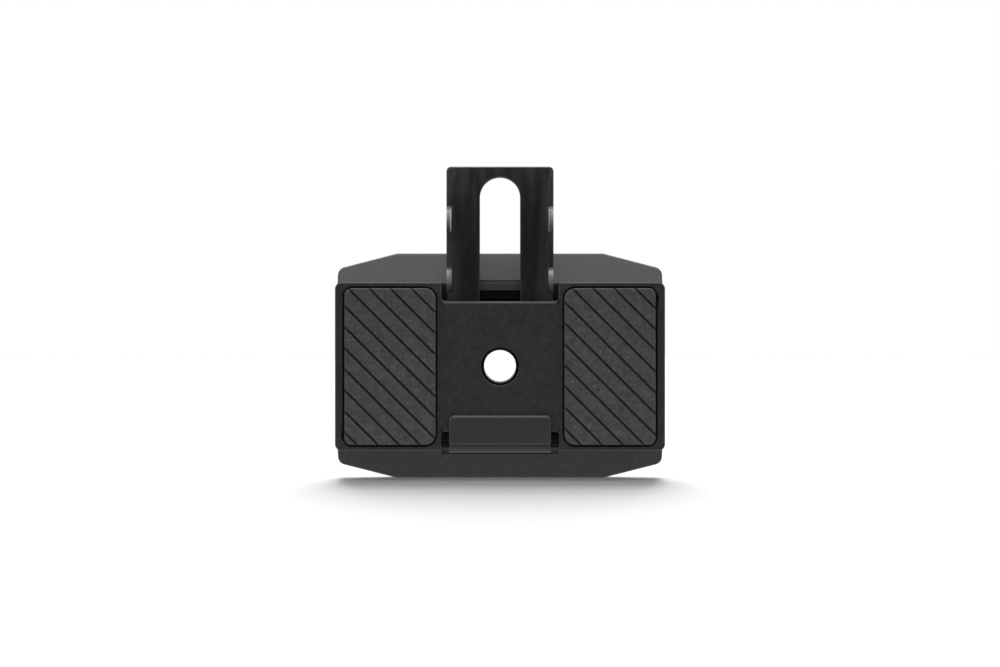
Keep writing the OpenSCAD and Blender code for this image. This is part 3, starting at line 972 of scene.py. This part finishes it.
class CLAMPBLOCK_OT_tongue(bpy.types.Operator):
    """Adds the glossy slotted tongue"""

    bl_idname = "clampblock.tongue"
    bl_label = "Tongue"

    # Depth of the notches behind the tongue's front, how far they reach in from its side edges,
    # and how much of that reach is the side edge's own rounding
    notch_depth = 1.2 * MM
    notch_reach = 1.5 * MM
    edge_reach = 0.2 * MM

    notch_rounding = 0.1 * MM
    back_rounding = 0.25 * MM

    # Depth at which a notch's floor counts as sloping, and least slope of its floor
    floor_depth = 0.02 * MM
    floor_slope = 0.02

    def execute(self, context):
        low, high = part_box("slide_tongue")

        def width_at(edge):
            spot = middle(edge)
            inwards = high.x - abs(spot.x)
            across = abs(run_of(edge).z) < SQUARE_WITHIN
            between_faces = low.y + ON_FACE < spot.y < high.y - ON_FACE
            if inwards < self.notch_reach and (
                    between_faces or (across and inwards > self.edge_reach)):
                return self.notch_rounding
            in_front = spot.y < low.y + ON_FACE
            return sizes().tongue_rounding if in_front else self.back_rounding

        piece = moulding("coated_tongue", "slide_tongue", width_at, x=(0,),
                         z=(middle_of("slide_tongue").z,))
        self.mark_notch_highlights(piece.data, low.y)
        return {"FINISHED"}

    def mark_notch_highlights(self, mesh, front):
        """Marks the notches' sloping floors, more strongly where they are deeper, for the finish to
        paint them light as a painted highlight.
        """
        mask = mesh.attributes.new(PAINTED_LIGHT_MASK, "FLOAT", "CORNER")
        for face in mesh.polygons:
            faces_front = face.normal.y < -0.8
            if not faces_front or face.normal.z < self.floor_slope:
                continue
            for corner in face.loop_indices:
                depth = mesh.vertices[mesh.loops[corner].vertex_index].co.y - front
                if depth > self.floor_depth:
                    mask.data[corner].value = min(1.0, depth / self.notch_depth)


class CLAMPBLOCK_OT_lever(bpy.types.Operator):
    """Adds the release lever"""

    bl_idname = "clampblock.lever"
    bl_label = "Release lever"

    # Rounding at the tab's foot, and the height below the tab's top where it starts to grow
    foot_rounding = 0.38 * MM
    tab_corner = 1.3 * MM

    link_rounding = 0.12 * MM

    def execute(self, context):
        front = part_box("release_lever")[0].y + ON_FACE
        tab_top = max(vert.co.z for vert in frame["nodes"]["release_lever"].data.vertices
                      if vert.co.y < front)

        def width_at(edge):
            spot = middle(edge)
            if spot.y > front:
                return self.link_rounding
            rise = max(0.0, (spot.z - tab_top) / self.tab_corner + 1)
            return self.foot_rounding + rise * (sizes().tab_rounding - self.foot_rounding)

        pin = middle_of("lever_pin")
        moulding("lever_moulding", "release_lever", width_at, y=(pin.y,), z=(pin.z,))
        return {"FINISHED"}


class CLAMPBLOCK_OT_springs(bpy.types.Operator):
    """Adds the forked leaf spring and the bowed spring"""

    bl_idname = "clampblock.springs"
    bl_label = "Springs"

    leaf_rounding = 0.08 * MM

    def execute(self, context):
        screw = end_centre("detent_screws", LEAF_SCREW["head_radius"])
        moulding("forked_leaf", "detent_spring", evenly(self.leaf_rounding),
                 x=pair(screw.x), z=(screw.z,))
        moulding("bowed_leaf", "friction_spring", evenly(self.leaf_rounding), x=(0,), z=(0,))
        return {"FINISHED"}


class CLAMPBLOCK_OT_fixings(bpy.types.Operator):
    """Adds the sleeve, the screws, the inserts, the dowels and the pin"""

    bl_idname = "clampblock.fixings"
    bl_label = "Fixings"

    def execute(self, context):
        cap_screw = end_centre("housing_screws", CAP_SCREW["head_radius"])
        leaf_screw = end_centre("detent_screws", LEAF_SCREW["head_radius"])
        insert = end_centre("threaded_inserts", INSERT_RADIUS)
        bore = Vector()
        for name, node, rounding, hole in (
                ("bolt_sleeve", "spacer_sleeve", 0.3 * MM, bore),
                ("cap_screws", "housing_screws", 0.2 * MM, cap_screw),
                ("brass_inserts", "threaded_inserts", 0.12 * MM, insert),
                ("leaf_screws", "detent_screws", 0.1 * MM, leaf_screw),
                ("pivot_pin", "lever_pin", 0.08 * MM, bore),
                ("dowel_pins", "locating_dowels", 0.12 * MM, bore)):
            moulding(name, node, evenly(rounding), x=pair(hole.x), z=pair(hole.z))
        thread_shanks("cap_screws", "housing_screws", CAP_SCREW,
                      [Vector((x, 0, z)) for x in pair(cap_screw.x) for z in pair(cap_screw.z)])
        thread_shanks("leaf_screws", "detent_screws", LEAF_SCREW,
                      [Vector((x, 0, leaf_screw.z)) for x in pair(leaf_screw.x)])
        return {"FINISHED"}


class CLAMPBLOCK_OT_thin_parts(bpy.types.Operator):
    """Adds the gasket, the pads' films and the tongue's guide strips"""

    bl_idname = "clampblock.thin_parts"
    bl_label = "Gasket, films and guides"

    gasket_rounding = 0.1 * MM
    film_rounding = 0.04 * MM
    strip_rounding = 0.15 * MM

    def execute(self, context):
        moulding("seam_gasket", "rear_gasket", evenly(self.gasket_rounding))
        for side in ("left", "right"):
            moulding(f"{side}_film", f"{side}_pad_tape", evenly(self.film_rounding))
        for side in ("left", "right"):
            moulding(f"{side}_runner", f"{side}_guide_strip", evenly(self.strip_rounding))
        return {"FINISHED"}


class CLAMPBLOCK_PT_panel(bpy.types.Panel):
    """Sizes, colours and building steps of the clamp block"""

    bl_idname = "CLAMPBLOCK_PT_panel"
    bl_label = "Clamp block"
    bl_space_type = "VIEW_3D"
    bl_region_type = "UI"
    bl_category = "Clamp block"

    def draw(self, context):
        for values in (sizes(), colours()):
            box = self.layout.box()
            for name in values.__annotations__:
                box.prop(values, name)
        for operator in OPERATORS:
            self.layout.operator(operator.bl_idname)


OPERATORS = (CLAMPBLOCK_OT_stage, CLAMPBLOCK_OT_front_plate, CLAMPBLOCK_OT_rear_housing,
             CLAMPBLOCK_OT_pads, CLAMPBLOCK_OT_tongue, CLAMPBLOCK_OT_lever,
             CLAMPBLOCK_OT_springs, CLAMPBLOCK_OT_fixings, CLAMPBLOCK_OT_thin_parts)
CLASSES = (BlockSizes, BlockColours, *OPERATORS, CLAMPBLOCK_PT_panel)


def register():
    for cls in CLASSES:
        bpy.utils.register_class(cls)
    bpy.types.Scene.clamp_block_sizes = bpy.props.PointerProperty(type=BlockSizes)
    bpy.types.Scene.clamp_block_colours = bpy.props.PointerProperty(type=BlockColours)


def unregister():
    del bpy.types.Scene.clamp_block_colours
    del bpy.types.Scene.clamp_block_sizes
    for cls in reversed(CLASSES):
        bpy.utils.unregister_class(cls)


def main():
    register()
    for operator in OPERATORS:
        area, name = operator.bl_idname.split(".")
        getattr(getattr(bpy.ops, area), name)()


if __name__ == "__main__":
    main()
